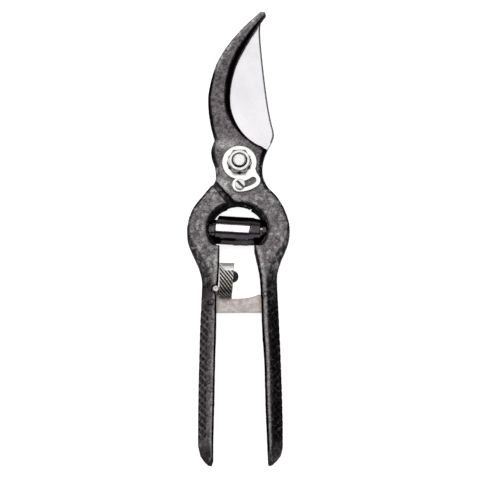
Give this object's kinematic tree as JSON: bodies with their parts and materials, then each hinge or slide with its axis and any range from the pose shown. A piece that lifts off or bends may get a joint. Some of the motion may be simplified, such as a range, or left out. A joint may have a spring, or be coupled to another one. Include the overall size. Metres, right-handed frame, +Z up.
{
  "type": "pruning shears",
  "caption": "Forged bypass pruning shears with hooked jaw, polished blade, volute spring, lock plate at the pivot nut and a thumb-operated catch across the handles.",
  "frame": {"origin": "on the pivot's axis, in the plane that the shears rest on (the rear face of the bolt's head)", "axes": "+Y to the jaws' tips, +X to the right handle's side, +Z up, out of the nut's side"},
  "size_m": [0.0479, 0.2157, 0.0215],
  "materials": {
    "forged_steel": "dark forged, speckled, semi-matt",
    "blade_steel": "ground and polished",
    "rivet_steel": "satin",
    "bolt_steel": "bright",
    "nut_steel": "bright plated",
    "bronze": "sintered bronze",
    "plate_steel": "bright polished",
    "spring_steel": "glossy black oxide",
    "strap_steel": "satin, slightly warm",
    "pad_steel": "bright knurled",
    "black_steel": "black oxide"
  },
  "bodies": {
    "hook_half": {"hook_forging": "forged_steel", "pivot_bolt": "bolt_steel", "pivot_nut": "nut_steel", "bolt_washer": "nut_steel", "lock_plate": "plate_steel", "lock_screw": "bolt_steel", "spring_stud_right": "rivet_steel", "catch_pin": "rivet_steel"},
    "blade_half": {"arm_forging": "forged_steel", "blade": "blade_steel", "blade_rivets": "rivet_steel", "pivot_bush": "bronze", "spring_stud_left": "rivet_steel", "volute_spring": "spring_steel", "catch_rivet": "rivet_steel", "catch_spacers": "rivet_steel"},
    "catch": {"catch_strap": "strap_steel", "thumb_pad": "pad_steel", "pad_rivet": "black_steel", "stop_stud": "rivet_steel"}
  },
  "joints": [
    {"name": "handle_pivot", "type": "hinge", "parent": "hook_half", "child": "blade_half", "pos_m": [0, 0, 0.00781], "axis": [0, 0, -1], "range_deg": [0, 28], "stiffness_Nm_per_rad": 1.1, "springref_deg": 41.25, "deforming": ["volute_spring"]},
    {"name": "catch_pivot", "type": "hinge", "parent": "blade_half", "child": "catch", "pos_m": [-0.0132, -0.0663, 0.0069], "axis": [0, 0, 1], "range_deg": [-25, 4]}
  ]
}
